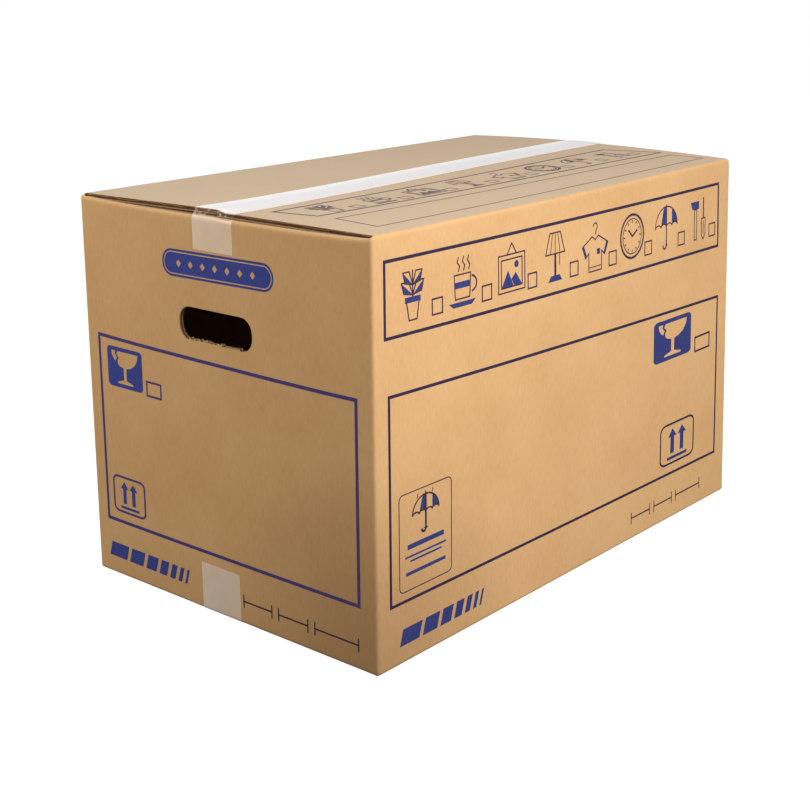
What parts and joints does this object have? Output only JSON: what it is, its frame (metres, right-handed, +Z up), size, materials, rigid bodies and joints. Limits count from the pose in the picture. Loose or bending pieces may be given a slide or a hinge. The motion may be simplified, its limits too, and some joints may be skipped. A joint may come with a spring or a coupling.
{
  "type": "cardboard storage box",
  "caption": "Oblong slotted carton of corrugated board with folded flaps taped shut and an oblong hand hole in each end.",
  "frame": {"origin": "under the middle of the box, on the surface that it stands on", "axes": "+Z up, X along the long sides, Y along the ends; the printed long side faces -Y"},
  "size_m": [0.5502, 0.35, 0.3502],
  "materials": {
    "kraft_board": "matte",
    "clear_tape": "gloss"
  },
  "bodies": {
    "root": {"carton": "kraft_board", "top_tape": "clear_tape", "bottom_tape": "clear_tape"}
  },
  "joints": []
}
